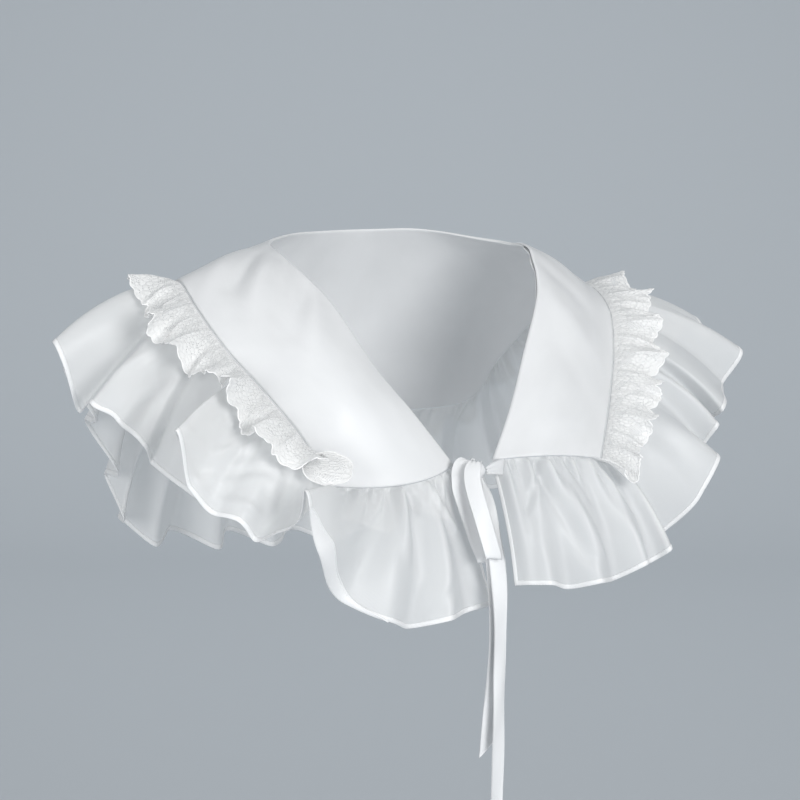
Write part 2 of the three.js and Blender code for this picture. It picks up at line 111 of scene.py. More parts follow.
# Soft creases in the satin: from one place to another (section, share of the width from the neck),
# how wide and how high. A low one is a trough.
CREASES = table("at across endAt endAcross wide high", [
    (4.6, 0.1, 3.3, 0.75, 8, 2.2),
    (4.2, 0.05, 2.9, 0.6, 7, -1.6),
    (5.3, 0.3, 4.1, 0.95, 8, 1.8),
    (3.2, 0.15, 2.2, 0.5, 9, 1.4),
    (1.6, 0.5, 0.7, 0.9, 10, 1.2),
    (6.6, 0.3, 6.1, 0.95, 9, 1.8),
    (8.1, 0.35, 7.4, 0.9, 10, -1.6),
    (9.7, 0.2, 9.3, 0.85, 11, 1.6),
    (11.2, 0.25, 11.6, 0.8, 10, -1.4),
    (13.3, 0.3, 13.8, 0.95, 9, 1.7),
    (15.3, 0, 15.9, 0.6, 7, 1.6),
    (16.2, 0, 16.6, 0.55, 7, -1.5),
    (16.9, 0.05, 17.5, 0.7, 8, 1.3),
])
SOFT_CREASES = table("at across endAt endAcross wide high", [
    (4.75, 0.2, 4.0, 0.62, 5, -1.7),
    (4.3, 0.12, 3.6, 0.6, 5, 1.0),
    (3.5, 0.06, 2.75, 0.52, 5, -1.9),
    (3.15, 0.08, 2.4, 0.5, 6, 1.1),
    (2.4, 0.35, 1.8, 0.75, 6, -0.7),
    (1.5, 0.2, 1.2, 0.7, 7, 0.8),
    (5.6, 0.3, 5.2, 0.8, 6, -0.9),
    (14.6, 0.1, 15.2, 0.6, 6, -1.0),
    (17.6, 0.2, 18.4, 0.7, 7, -0.7),
    (19.2, 0.3, 19.0, 0.8, 8, 0.6),
])

# The hang of the ruffle: where its hem would lie unfolded, and how far the fall bows outward.
FALLS = table("at x y z bow", [
    (-1, -7, -121, -210, 1),
    (-0.5, -74, -130, -216, 8),
    (0, -126, -120, -192, 10),
    (1, -172, -106, -152, 10),
    (2, -196, -84, -136, 10),
    (3, -211, -54, -112, 8),
    (4, -225, -16, -80, 8),
    (5, -234, 20, -48, 8),
    (6, -202, 80, -80, 8),
    (7, -158, 124, -140, 10),
    (8, -132, 148, -190, 10),
    (9, -68, 152, -204, 8),
    (10, 0, 152, -207, 8),
    (11, 68, 152, -204, 8),
    (12, 132, 148, -190, 10),
    (13, 176, 126, -146, 10),
    (14, 210, 76, -92, 8),
    (15, 241, 6, -62, 8),
    (16, 235, -36, -86, 8),
    (17, 208, -70, -112, 8),
    (18, 180, -96, -136, 8),
    (19, 148, -114, -168, 8),
    (20, 112, -124, -192, 8),
    (20.5, 62, -130, -203, 8),
    (21, 8, -122, -199, 4),
])

# The ruffle's folds, ridge and valley by turns, as they stand at the hem: place, lift away from the
# body, slide along the hem, and drop below it.
FOLDS = table("at lift slide drop", [
    (-1, -2, 0, 0),
    (-0.86, -5, 0, 0),
    (-0.7, 7, 0, 0),
    (-0.54, -8, 0, 0),
    (-0.4, 6, 6, 0),
    (-0.3, 2, 21, -6),
    (-0.15, 44, 42, -16),
    (0, 62, 48, -34),
    (0.25, 40, 28, -12),
    (0.5, 20, 15, -4),
    (0.85, -3, 0, 0),
    (1.2, 3, 0, 0),
    (1.6, -2, 0, 0),
    (2.1, 12, 0, 0),
    (2.5, 45, 0, -12),
    (2.75, -18, -32, 0),
    (3.05, -16, -12, 0),
    (3.3, -20, -8, 0),
    (3.45, -6, -12, 0),
    (3.85, -8, -4, 0),
    (4.2, -2, -6, 8),
    (4.45, -38, -8, 8),
    (5, 4, 0, 6),
    (5.4, -4, 0, 0),
    (6, 8, 0, 0),
    (6.3, -17, 0, 0),
    (6.65, 12, 0, 0),
    (7, -13, 0, 0),
    (7.35, 13, 0, 0),
    (7.65, -12, 0, 0),
    (8, 14, 0, 2),
    (8.3, -12, 0, 0),
    (8.65, 11, 0, 0),
    (9, -12, 0, 0),
    (9.3, 13, 0, 0),
    (9.65, -10, 0, 0),
    (10, 9, 0, 0),
    (10.3, -11, 0, 0),
    (10.65, 13, 0, 0),
    (11, -12, 0, 0),
    (11.35, 11, 0, 0),
    (11.7, -12, 0, 0),
    (12.05, 14, 0, 2),
    (12.4, -12, 0, 0),
    (12.75, 13, 0, 0),
    (13.1, -14, 0, 0),
    (13.5, 13, 0, 0),
    (13.8, -12, 0, 0),
    (14.15, 11, 0, 0),
    (14.5, -12, 0, 0),
    (14.85, 9, 0, 0),
    (15.15, -5, 0, 0),
    (15.6, 8, 6, 6),
    (16.05, -10, 0, 0),
    (16.6, 2, 18, -8),
    (16.85, -20, -10, 0),
    (17.15, 2, 10, -8),
    (17.5, -16, 0, -6),
    (18.1, 5, 0, 0),
    (18.6, -6, 0, 0),
    (19.25, -24, 4, -6),
    (19.65, 6, 10, 0),
    (20, -5, 0, 0),
    (20.15, 7, 0, 0),
    (20.3, -7, 0, 0),
    (20.5, 8, 0, 0),
    (20.65, -6, 0, 0),
    (20.82, 6, 0, 0),
    (21, -1, 0, 0),
])

# Sharp creases in the ruffle's fronts: from one place and share of the fall to another, how wide
# and how high. A low one is a trough.
RUFFLE_CREASES = table("at fall endAt endFall wide high", [
    (-0.34, 0.02, -0.2, 0.6, 2.2, 1.5),
    (-0.5, 0.0, -0.57, 0.17, 2.6, -2.8),
    (-0.57, 0.15, -0.62, 0.65, 4.5, -1.8),
    (-0.44, 0.0, -0.47, 0.5, 3.6, 1.5),
    (-0.68, 0.03, -0.84, 0.4, 2.6, 2.3),
    (-0.84, 0.36, -0.93, 0.85, 3.6, 1.7),
    (-0.3, 0.3, -0.29, 0.75, 3.2, -1.1),
    (-0.7, 0.82, -0.6, 0.99, 3.2, -1.3),
    (-0.12, 0.02, -0.1, 0.35, 2.2, -2.0),
    (0.65, 0.62, 0.7, 0.2, 2.6, -1.3),
    (0.83, 0.84, 1.06, 0.5, 3.0, 1.3),
    (2.38, 0.9, 2.12, 0.36, 3.0, 1.5),
    (2.36, 0.88, 1.52, 0.33, 3.0, 1.4),
    (2.3, 0.9, 1.24, 0.55, 3.2, -1.2),
    (2.2, 0.94, 1.12, 0.86, 3.2, 1.2),
    (3.8, 0.95, 3.57, 0.5, 3.2, -1.1),
    (4.39, 0.92, 3.85, 0.3, 3.0, 1.1),
    (20.64, 0.02, 20.86, 0.42, 1.8, -1.8),
    (20.65, 0.22, 20.53, 0.8, 3.2, -2.8),
    (20.58, 0.12, 20.43, 0.75, 3.8, 2.3),
    (20.24, 0.08, 20.2, 0.62, 3.8, 1.9),
    (20.1, 0.1, 20.03, 0.5, 3.2, -1.5),
    (20.4, 0.02, 20.36, 0.35, 2.6, -1.5),
])

# The lace frills: how far each stands up from the ruffle, in degrees, and how wide it is.
FLARES = table("at angle wide", [
    (-0.05, 64, 27),
    (0.3, 60, 28),
    (0.7, 38, 31),
    (1.1, 16, 34),
    (1.6, 10, 35),
    (2.1, 12, 35),
    (2.6, 29, 34),
    (3.1, 16, 35),
    (3.6, 10, 35),
    (4.3, 17, 34),
    (4.9, 3, 27),
    (5.4, 1, 21),
    (5.9, 3, 21),
    (6.4, 12, 25),
    (7, 9, 28),
    (10, 8, 30),
    (13, 4, 29),
    (14.3, 2, 26),
    (15, 2, 26),
    (16.2, 8, 29),
    (18, 8, 29),
    (19.3, 26, 28),
    (20.05, 28, 27),
    (20.3, 26, 28),
])

# The tie, seen square on from the way it faces: across to the left, out from the body, height,
# how far the ribbon is turned about its length or tilted from level, and its share of full width,
# less where it is gathered into the knot.
TIE_COLUMNS = "across out z turn tilt wide"
LOOP_FRONT = table(TIE_COLUMNS, [
    (43.2, 106.2, -122.7, 0, 0, 0.45),
    (42.6, 110.2, -120, 0, 0, 0.7),
    (40.6, 115, -123.4, 0, 0, 1),
    (40.2, 119, -130, 0, 0, 1),
    (42.2, 123.4, -139, 0, 0, 1),
    (45.6, 127.4, -150, 0, 0, 1),
    (49.4, 130, -163, 0, 0, 1),
    (52.6, 131.4, -174, 0, 0, 1),
    (53.2, 130, -177.4, 0, 0, 1),
    (52.8, 128, -174.4, 0, 0, 1),
    (49.6, 127.2, -163, 0, 0, 1),
    (45.6, 124.2, -150, 0, 0, 1),
    (42.6, 119.8, -138.5, 0, 0, 0.9),
    (41.8, 114, -131, 0, 0, 0.7),
    (42.8, 110, -128, 0, 0, 0.5),
    (43.3, 107.5, -127.5, 0, 0, 0.45),
])
LOOP_REAR = table(TIE_COLUMNS, [
    (40.8, 103.2, -121, 0, 0, 0.45),
    (38, 104.4, -120.1, 0, 0, 0.7),
    (34.4, 106.2, -121.2, 0, 0, 0.9),
    (32.6, 108.6, -125.5, 0, 0, 1),
    (32.4, 111.4, -131, 0, 0, 1),
    (33.2, 112.9, -138, 0, 0, 1),
    (37.4, 114.8, -151, 0, 0, 1),
    (43.2, 117.2, -168, 0, 0, 1),
    (47.6, 118.6, -178.5, 0, 0, 1),
    (48.6, 117.4, -181.8, 0, 0, 1),
    (48.2, 115.4, -178.8, 0, 0, 1),
    (44, 113.6, -168, 0, 0, 1),
    (38.4, 111.2, -151, 0, 0, 1),
    (35, 109.2, -141, 0, 0, 0.9),
    (35.6, 107.4, -135.5, 0, 0, 0.7),
    (37.8, 106, -132, 0, 0, 0.5),
    (39.5, 105.1, -130.6, 0, 0, 0.45),
])
TAIL_SHORT = table(TIE_COLUMNS, [
    (45, 103.2, -131.8, 0, 0, 0.45),
    (45.4, 105.2, -136.5, 0, 0, 0.7),
    (47, 112.4, -142, 0, 0, 0.95),
    (48.8, 118.7, -150.5, 0, 0, 1),
    (51, 121.8, -168, 0, 0, 1),
    (53.2, 122.6, -180, 0, 0, 1),
    (54.7, 121.5, -202, -25, 0, 1),
    (54.4, 120, -225, -40, 0, 1),
    (52.8, 117.5, -259, -42, 0, 1),
    (51.2, 115, -280, -35, 0, 1),
    (49.8, 113, -301.5, -28, 0, 1),
])
TAIL_LONG = table(TIE_COLUMNS, [
    (45.2, 105.8, -130.5, 0, 0, 0.45),
    (45.6, 109, -134.5, 0, 0, 0.7),
    (47.6, 115.6, -141, 0, 0, 1),
    (50.2, 122, -150, 0, 0, 1),
    (53.2, 124.8, -168, 0, 0, 1),
    (55.4, 125.7, -180, 0, 0, 1),
    (57.1, 124.6, -202, -25, 0, 1),
    (57.6, 123.4, -225, -40, 0, 1),
    (57.4, 121, -259, -45, 0, 1),
    (56.4, 117, -311, -42, 0, 1),
    (54.9, 112.5, -356, -36, 0, 1),
])
STRAP_LEFT = table(TIE_COLUMNS, [
    (49.2, 102.7, -126.6, 0, 90, 0.5),
    (54, 98, -125.6, 0, 90, 0.8),
    (58.3, 91.4, -125.9, 0, 90, 1),
    (60.2, 86.6, -126.4, 0, 90, 1),
])
STRAP_RIGHT = table(TIE_COLUMNS, [
    (38.1, 102.8, -126.8, 0, 90, 0.5),
    (34.8, 101.6, -127.2, 0, 90, 0.75),
    (31.2, 99.4, -127.8, 0, 90, 1),
])
KNOT = {"across": 43.5, "out": 103, "z": -126.5, "halves": (5, 4, 5)}


# Curves through the tables


def curve(rows, key, at, slopes):
    """A cubic through one column of a table, with the slopes given at its rows."""
    x, y = rows["at"], rows[key]
    at = np.asarray(at, float)
    i = np.clip(np.searchsorted(x, at, side="right") - 1, 0, len(x) - 2)
    step = x[i + 1] - x[i]
    t = (at - x[i]) / step
    t2, t3 = t * t, t * t * t
    start = (2 * t3 - 3 * t2 + 1) * y[i] + (t3 - 2 * t2 + t) * step * slopes[i]
    return start + (3 * t2 - 2 * t3) * y[i + 1] + (t3 - t2) * step * slopes[i + 1]


def smooth(rows, key, at):
    """A smooth curve through one column of a table."""
    x, y = rows["at"], rows[key]
    rise, step = np.diff(y) / np.diff(x), np.diff(x)
    slopes = np.empty(len(x))
    slopes[0], slopes[-1] = rise[0], rise[-1]
    slopes[1:-1] = (rise[:-1] * step[1:] + rise[1:] * step[:-1]) / (step[:-1] + step[1:])
    return curve(rows, key, at, slopes)


def rolling(rows, key, at):
    """A curve that turns only at the rows, so that a fold stands no higher than its row says."""
    x, y = rows["at"], rows[key]
    rise = np.diff(y) / np.diff(x)
    slopes = np.zeros(len(x))
    before, after = rise[:-1], rise[1:]
    same = before * after > 0
    total = np.where(same, before + after, 1.0)
    slopes[1:-1] = np.where(same, 2 * before * after / total, 0.0)
    return curve(rows, key, at, slopes)


def columns(rows, keys, at):
    return np.stack([smooth(rows, key, at) for key in keys.split()], axis=-1)


def unit(v):
    return v / np.maximum(np.linalg.norm(v, axis=-1, keepdims=True), 1e-12)


def dot(a, b):
    return (a * b).sum(axis=-1, keepdims=True)


def ramp(x, low, high):
    """From 0 at low to 1 at high, with soft ends."""
    t = np.clip((x - low) / (high - low), 0, 1)
    return t * t * (3 - 2 * t)


# The satin collar's middle surface


def neck_at(at):
    return columns(SECTIONS, "neckX neckY neckZ", at)


def outer_at(at):
    return columns(SECTIONS, "seamX seamY seamZ", at)


def by_crease(x, y, dx, dy, wide):
    """How far points lie along a crease, in its lengths, and beside and past it, in its widths."""
    length = math.hypot(dx, dy)
    run = (x * dx + y * dy) / length / length
    off = (x * dy - y * dx) / length / wide
    return run, off, np.maximum(0, np.maximum(-run, run - 1)) * (length / wide)


def crease_height(at, across, rows=CREASES):
    height = np.zeros(np.broadcast(at, across).shape)
    for at0, across0, at1, across1, wide, high in zip(*rows.values()):
        x, y = (at - at0) * SECTION_STEP, (across - across0) * CREASE_SPAN
        dx, dy = (at1 - at0) * SECTION_STEP, (across1 - across0) * CREASE_SPAN
        run, off, past = by_crease(x, y, dx, dy, wide)
        middle = 0.55 + 0.45 * np.sin(math.pi * np.clip(run, 0, 1))
        height = height + high * middle * np.exp(-off * off - past * past)
    return height


def panel(at, across):
    """Points of the collar, and its outward side, for arrays of section and share of the width."""
    at, across = np.broadcast_arrays(np.asarray(at, float), np.asarray(across, float))
    a, b = np.clip(at - 0.05, FIRST, LAST), np.clip(at + 0.05, FIRST, LAST)
    neck = neck_at(at)
    reach = outer_at(at) - neck
    along = neck_at(b) + outer_at(b) - neck_at(a) - outer_at(a)
    outward = unit(np.cross(along, reach))
    middle = 4 * across * (1 - across)
    bow = smooth(SECTIONS, "crown", at) * middle + crease_height(at, across)
    dip = smooth(SECTIONS, "dip", at) * middle
    points = neck + reach * across[..., None] + outward * bow[..., None] - unit(along) * dip[..., None]
    return points, outward


# The ruffle's middle surface


def seam_at(at):
    """The seam that the ruffle is sewn to: the right bottom edge, the outer and the left bottom one."""
    section = np.clip(at, FIRST, LAST)
    across = np.where(at < 0, 1 + at, np.where(at > LAST, LAST + 1 - at, 1.0))
    return panel(section, across)[0]


def fall_frame(at):
    """The seam, the way down from it, the length of the fall, the way along and the way out."""
    root = seam_at(at)
    down = columns(FALLS, "x y z", at) - root
    length = np.linalg.norm(down, axis=-1, keepdims=True)
    down = down / length
    near = np.clip(at + 0.06, RUFFLE_START, RUFFLE_END), np.clip(at - 0.06, RUFFLE_START, RUFFLE_END)
    along = columns(FALLS, "x y z", near[0]) - columns(FALLS, "x y z", near[1])
    along = unit(along - down * dot(along, down))
    return root, down, length, along, np.cross(along, down)


def running(line):
    """Running length along a line of points, from 0."""
    return np.concatenate([[0], np.cumsum(np.linalg.norm(np.diff(line, axis=0), axis=1))])


def arc_length(at):
    """Millimetres along the seam from the right front edge, for an array of places."""
    fine = np.linspace(RUFFLE_START, RUFFLE_END, 4401)
    return np.interp(at, fine, running(seam_at(fine)))


def fold_point(at, fall):
    """The ruffle with its large folds: place, and share of the fall from the seam to the hem."""
    root, down, length, along, out = fall_frame(at)
    lift = rolling(FOLDS, "lift", at) * fall**1.15 + smooth(FALLS, "bow", at) * 4 * fall * (1 - fall)
    slide = rolling(FOLDS, "slide", at) * fall**1.3
    drop = length[..., 0] * fall + rolling(FOLDS, "drop", at) * fall
    return root + down * drop[..., None] + out * lift[..., None] + along * slide[..., None]


def hashed(index, salt):
    """Numbers from 0 to 1 that look unordered and are the same each time."""
    value = np.sin(index * 12.9898 + salt * 78.233) * 43758.5453
    return value - np.floor(value)


def fold_lines():
    """Where each large fold turns, in millimetres along the seam: a ridge is above 0, a valley below."""
    lift, lines, full = FOLDS["lift"], [], 14
    for i in range(1, len(lift) - 1):
        before, after = lift[i] - lift[i - 1], lift[i] - lift[i + 1]
        if before * after > 0:
            size = min(abs(before), abs(after), full) / full
            lines.append((float(arc_length(FOLDS["at"][i])), math.copysign(size, before)))
    return lines


def sharp_folds(fall, length):
    """The crisp line along each large fold, and the creases of the fronts."""
    height = np.zeros(fall.shape)
    for here, size in FOLD_LINES:
        off = (length - here) / (1.8 + 3.4 * fall)
        height = height + CRISP * size * np.exp(-off * off) * ramp(fall, 0.03, 0.35)
    for at0, fall0, at1, fall1, wide, high in zip(*RUFFLE_CREASES.values()):
        start, end = float(arc_length(at0)), float(arc_length(at1))
        x, y = length - start, (fall - fall0) * FALL_LENGTH
        off, past = by_crease(x, y, end - start, (fall1 - fall0) * FALL_LENGTH, wide)[1:]
        past = past / 1.6
        fade = np.exp(-past * past) * ramp(fall, 0, 0.03)
        height = height + high * fade * (np.exp(-off * off) - 0.35 * np.exp(-((np.abs(off) - 1.7) ** 2)))
    return height


def fine_folds(at, fall, length, span):
    """The fine gathers at the seam, the pleats that run down from them and the flutter of the hem."""
    front = ramp(np.maximum(-at, at - LAST), -0.1, 0.15)
    uneven = 0.65 + 0.35 * np.sin(length / 13.7 + 1.9 * np.sin(length / 41))
    gather = np.sin(2 * math.pi * length / 5.6 + 1.3 * np.sin(length / 19))
    gather += 0.7 * np.sin(2 * math.pi * length / 3.7 + 2.1 * np.sin(length / 31))
    near = ramp(fall, 0, 0.03) * np.exp(-fall / (0.06 + 0.05 * uneven))
    height = (0.25 + 0.3 * front) * gather * uneven * near
    low, high = span
    for k in range(int((high - low) / PLEAT_STEP)):
        here = low + PLEAT_STEP * (k + 0.9 * (hashed(k, 1) - 0.5))
        tilt = 7 * (hashed(k, 2) - 0.5)
        wide = (1.5 + 2.2 * hashed(k, 3)) * (1 + 1.6 * fall)
        size = 0.7 + 1.9 * hashed(k, 4) ** 2
        reach = 0.18 + 0.75 * hashed(k, 5) ** 2
        off = (length - here - tilt * fall) / wide
        ridge = np.exp(-off * off) - 0.45 * np.exp(-((off - 1.3) ** 2))
        ridge = ridge - 0.3 * np.exp(-((off + 1.4) ** 2))
        size = size * (1 + 1.5 * front)
        height = height + size * ridge * ramp(fall, 0, 0.05) * np.exp(-((fall / reach) ** 2))
    for k in range(int((high - low) / TUCK_STEP)):
        here = low + TUCK_STEP * (k + 1.1 * (hashed(k, 6) - 0.5))
        lean = 9 * (hashed(k, 7) - 0.5)
        off = (length - here - lean * fall) / ((0.8 + 0.5 * hashed(k, 8)) * (1 + 6 * fall))
        size = (0.5 + 1.3 * hashed(k, 9)) * (0.7 + 1.0 * front)
        ridge = np.exp(-off * off) - 0.8 * np.exp(-((off - 1.5) ** 2))
        reach = 0.07 + 0.16 * hashed(k, 10)
        height = height + size * ridge * ramp(fall, 0, 0.03) * np.exp(-fall / reach)
    flute = np.sin(2 * math.pi * length / 21 + 1.7 * np.sin(length / 37))
    flute += 0.6 * np.sin(2 * math.pi * length / 12.3 + 2.3 * np.sin(length / 53))
    flutter = np.sin(2 * math.pi * length / 14.6 + 2.4 * np.sin(length / 29))
    height = height + 0.6 * flute * uneven * ramp(fall, 0.05, 0.5) + sharp_folds(fall, length)
    return height + 0.8 * flutter * uneven * ramp(fall, 0.6, 1.0)


FOLD_LINES = fold_lines()


def ruffle_grid(at, fall, side, raised=0.0):
    """The finished ruffle, each strip with gathers of its own, or a band raised from it."""
    span = arc_length(np.array([RUFFLE_START, BACK] if side == "right" else [BACK, RUFFLE_END]))
    out = fall_frame(at)[4]
    fine = fine_folds(at, fall, np.broadcast_to(arc_length(at[0]), at.shape), span)
    return fold_point(at, fall) + out * (fine + raised)[..., None]


# Meshes


def grid_normals(points):
    return unit(np.cross(np.gradient(points, axis=1), np.gradient(points, axis=0)))


def spacing(points, axis):
    """Running length in millimetres along one axis of a grid, averaged over the other."""
    steps = np.linalg.norm(np.diff(points, axis=axis), axis=-1).mean(axis=1 - axis)
    return np.concatenate([[0], np.cumsum(steps)])


def new_mesh(name, vertices, faces, uvs, material):
    mesh = bpy.data.meshes.new(name)
    faces = faces.tolist() if isinstance(faces, np.ndarray) else faces
    mesh.from_pydata((np.asarray(vertices) * MM).tolist(), [], faces)
    layer = mesh.uv_layers.new(name="UVMap")
    corners = np.empty(len(mesh.loops), int)
    mesh.loops.foreach_get("vertex_index", corners)
    layer.data.foreach_set("uv", np.asarray(uvs, float)[corners].ravel())
    mesh.shade_smooth()
    mesh.materials.append(material)
    made = bpy.data.objects.new(name, mesh)
    bpy.context.scene.collection.objects.link(made)
    return made


def grid_uvs(points):
    u, v = np.meshgrid(spacing(points, 1), spacing(points, 0))
    return np.stack([u, v], axis=-1).reshape(-1, 2) * MM


def grid_faces(rows, cols, start=0, flip=False):
    index = np.arange(rows * cols).reshape(rows, cols) + start
    a, b, c, d = index[:-1, :-1], index[:-1, 1:], index[1:, 1:], index[1:, :-1]
    faces = np.stack([a, b, c, d], axis=-1).reshape(-1, 4)
    return faces[:, ::-1] if flip else faces


def cloth(name, points, material, uvs=None):
    """One open sheet over a grid of points."""
    rows, cols = points.shape[:2]
    uvs = grid_uvs(points) if uvs is None else uvs
    return new_mesh(name, points.reshape(-1, 3), grid_faces(rows, cols), uvs, material)


def wall(name, points, low, high, material):
    """A closed thin wall over a grid of points."""
    rows, cols = points.shape[:2]
    normals = grid_normals(points)
    inner, outer = points + normals * low, points + normals * high
    size = rows * cols
    index = np.arange(size).reshape(rows, cols)
    rim = np.concatenate([index[0, :], index[1:, -1], index[-1, -2::-1], index[-2:0:-1, 0]])
    on = np.roll(rim, -1)
    sides = np.stack([rim, rim + size, on + size, on], axis=-1)
    faces = np.concatenate([grid_faces(rows, cols, 0, True), grid_faces(rows, cols, size), sides])
    vertices = np.concatenate([inner.reshape(-1, 3), outer.reshape(-1, 3)])
    uvs = np.concatenate([grid_uvs(points), grid_uvs(points)])
    return new_mesh(name, vertices, faces, uvs, material)


def edge_roll(name, line, inward, normal, size, material, sides=10):
    """A narrow rolled hem along a line: an oval section that lies just inside the edge."""
    wide, thick = size
    turn = np.linspace(0, 2 * math.pi, sides, endpoint=False)
    middle = line + inward * (wide / 2 - 0.25)
    ring = middle[:, None, :] + inward[:, None, :] * (np.cos(turn)[None, :, None] * wide / 2)
    ring = ring + normal[:, None, :] * (np.sin(turn)[None, :, None] * thick / 2)
    count = len(line)
    index = np.arange(count * sides).reshape(count, sides)
    on = np.roll(index, -1, axis=1)
    faces = np.stack([index[:-1], on[:-1], on[1:], index[1:]], axis=-1).reshape(-1, 4)
    caps = [index[0, ::-1].tolist(), index[-1].tolist()]
    u, v = np.meshgrid(running(line), turn / (2 * math.pi) * wide * 2.2, indexing="ij")
    uvs = np.stack([u, v], axis=-1).reshape(-1, 2) * MM
    return new_mesh(name, ring.reshape(-1, 3), faces.tolist() + caps, uvs, material)


# Materials


class Shader:
    """A material's nodes, made one at a time and joined as they are made."""

    def __init__(self, name, colour, roughness):
        self.material = bpy.data.materials.new(name)
        self.material.use_nodes = True
        self.tree = self.material.node_tree
        self.shader = self.tree.nodes["Principled BSDF"]
        self.output = self.tree.nodes["Material Output"]
        self.shader.inputs["Base Color"].default_value = (*colour, 1)
        self.shader.inputs["Roughness"].default_value = roughness
        self.uv = self.add("ShaderNodeUVMap", uv_map="UVMap").outputs["UV"]

    def add(self, kind, inputs=None, **settings):
        node = self.tree.nodes.new(kind)
        for key, value in settings.items():
            setattr(node, key, value)
        for key, value in (inputs or {}).items():
            if isinstance(value, bpy.types.NodeSocket):
                self.tree.links.new(value, node.inputs[key])
            else:
                node.inputs[key].default_value = value
        return node

    def scaled(self, u, v, twist=0.0):
        inputs = {"Vector": self.uv, "Scale": (u, v, 1), "Rotation": (0, 0, twist)}
        return self.add("ShaderNodeMapping", inputs).outputs["Vector"]

    def noise(self, u, v, detail=2.0):
        inputs = {"Vector": self.scaled(u, v), "Scale": 1.0, "Detail": detail, "Roughness": 0.5}
        return self.add("ShaderNodeTexNoise", inputs, noise_dimensions="2D").outputs[0]

    def cells(self, vector, uneven, feature):
        inputs = {"Vector": vector, "Scale": 1.0, "Randomness": uneven}
        made = self.add("ShaderNodeTexVoronoi", inputs, voronoi_dimensions="2D", feature=feature)
        return made.outputs["Distance"]

    def maths(self, operation, a, b, clamp=False):
        return self.add("ShaderNodeMath", {0: a, 1: b}, operation=operation, use_clamp=clamp).outputs[0]

    def between(self, value, low, high, start=0.0, end=1.0):
        inputs = {"Value": value, "From Min": low, "From Max": high, "To Min": start, "To Max": end}
        return self.add("ShaderNodeMapRange", inputs, clamp=True).outputs["Result"]

    def mix_colour(self, share, a, b):
        node = self.add("ShaderNodeMix", data_type="RGBA")
        for socket, value in ((node.inputs[0], share), (node.inputs[6], a), (node.inputs[7], b)):
            if isinstance(value, bpy.types.NodeSocket):
                self.tree.links.new(value, socket)
            else:
                socket.default_value = (*value, 1) if isinstance(value, tuple) else value
        return node.outputs[2]

    def put(self, key, value):
        if isinstance(value, bpy.types.NodeSocket):
            self.tree.links.new(value, self.shader.inputs[key])
        else:
            self.shader.inputs[key].default_value = value

    def bump(self, height, strength, distance):
        inputs = {"Height": height, "Strength": strength, "Distance": distance}
        self.put("Normal", self.add("ShaderNodeBump", inputs).outputs["Normal"])

    def bands(self, scale, distortion, direction, detail=2.0):
        inputs = {"Vector": self.uv, "Scale": scale, "Distortion": distortion, "Detail": detail}
        return self.add("ShaderNodeTexWave", inputs, bands_direction=direction).outputs["Fac"]

    def threads(self, scale):
        """Crossing threads as a height from 0 to 1."""
        warp, weft = (self.bands(scale, 0.6, direction, 1.0) for direction in "XY")
        return self.maths("MULTIPLY", warp, weft)

    def through(self, share, colour):
        """Lets some of the light that falls on the back of the cloth through to the front."""
        glow = self.add("ShaderNodeBsdfTranslucent", {"Color": (*colour, 1)})
        mix = self.add("ShaderNodeMixShader", {0: share})
        self.tree.links.new(self.shader.outputs[0], mix.inputs[1])
        self.tree.links.new(glow.outputs[0], mix.inputs[2])
        self.tree.links.new(mix.outputs[0], self.output.inputs["Surface"])
        return mix

    def cut_out(self, cover, mix):
        """Leaves the cloth out where cover is 0."""
        clear = self.add("ShaderNodeBsdfTransparent")
        cut = self.add("ShaderNodeMixShader", {0: cover})
        self.tree.links.new(clear.outputs[0], cut.inputs[1])
        self.tree.links.new(mix.outputs[0], cut.inputs[2])
        self.tree.links.new(cut.outputs[0], self.output.inputs["Surface"])


def satin(name, colour, roughness):
    s = Shader(name, colour, roughness)
    cloud = s.noise(26, 34, detail=3)
    deep = tuple(c * 0.965 for c in colour)
    s.put("Base Color", s.mix_colour(s.between(cloud, 0.35, 0.65), deep, colour))
    slub = s.noise(2600, 170, detail=2)
    s.put("Roughness", s.between(slub, 0.3, 0.7, roughness - 0.05, roughness + 0.08))
    s.put("Specular IOR Level", 0.36)
    s.put("Sheen Weight", 0.12)
    s.put("Sheen Roughness", 0.35)
    height = s.maths("ADD", s.maths("MULTIPLY", slub, 0.5), s.threads(900))
    s.bump(height, 0.12, 0.00012)
    s.through(0.1, colour)
    return s.material


def organza():
    s = Shader("organza", (0.87, 0.873, 0.872), 0.42)
    threads = s.threads(620)
    s.bump(s.maths("ADD", threads, s.maths("MULTIPLY", s.noise(1400, 260), 0.5)), 0.1, 0.0001)
    s.put("Sheen Weight", 0.2)
    s.put("Sheen Roughness", 0.4)
    mix = s.through(0.24, (0.93, 0.935, 0.93))
    s.cut_out(s.between(threads, 0.0, 0.6, 0.66, 0.85), mix)
    return s.material


def hem_cloth():
    colour = (0.93, 0.935, 0.94)
    s = Shader("hem", colour, 0.5)
    stitches = s.bands(170.0, 0.4, "X")
    s.bump(s.maths("ADD", stitches, s.noise(1500, 1500)), 0.25, 0.0002)
    s.through(0.15, colour)
    return s.material


